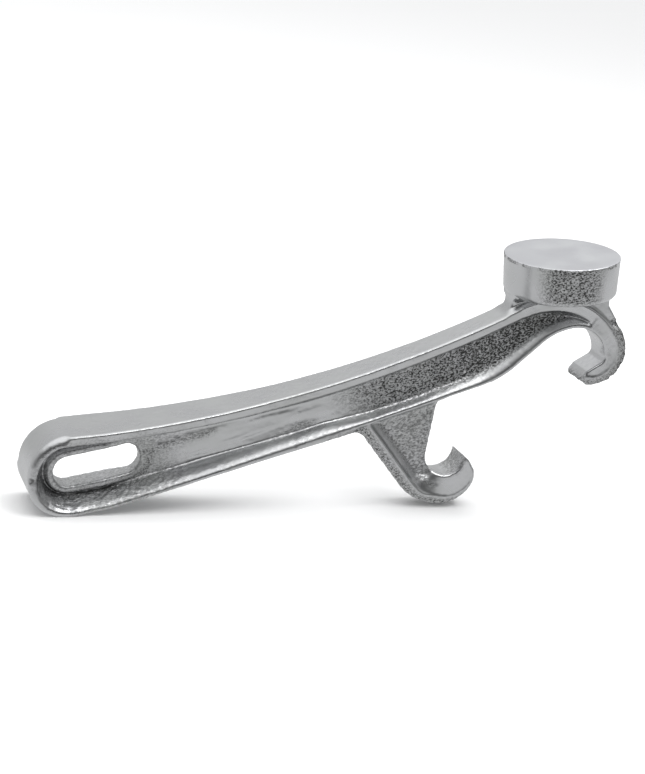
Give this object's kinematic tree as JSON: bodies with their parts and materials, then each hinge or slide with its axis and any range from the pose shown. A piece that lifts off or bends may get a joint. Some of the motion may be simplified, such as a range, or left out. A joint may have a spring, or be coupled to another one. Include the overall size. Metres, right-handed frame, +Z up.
{
  "type": "hose coupling spanner",
  "caption": "One-piece cast coupling spanner: ribbed handle with a hanging slot, round hammer head, end hook and side hook for turning hose-coupling lugs.",
  "frame": {"origin": "on the bench, under the middle of the tool's length, in the mid-plane of the casting", "axes": "+X from the handle's end towards the head, +Y across the casting's thickness, +Z up with the tool standing on its handle end and its side hook"},
  "size_m": [0.291, 0.055, 0.1304],
  "materials": {
    "plated_iron": "bright zinc plate over a cast skin, glossy with rough patches",
    "plated_iron_ground": "ground flat, then bright zinc plate, satin"
  },
  "bodies": {
    "root": {"crest_flange": "plated_iron", "end_hook_jaw": "plated_iron", "end_loop": "plated_iron", "hammer_disc": "plated_iron_ground", "hammer_neck": "plated_iron", "handle_web": "plated_iron", "lower_flange_belly": "plated_iron", "lower_flange_grip": "plated_iron", "side_hook_gusset": "plated_iron", "side_hook_jaw": "plated_iron", "side_hook_rim": "plated_iron", "slot_collar": "plated_iron", "upper_flange_grip": "plated_iron", "upper_flange_neck": "plated_iron"}
  },
  "joints": []
}
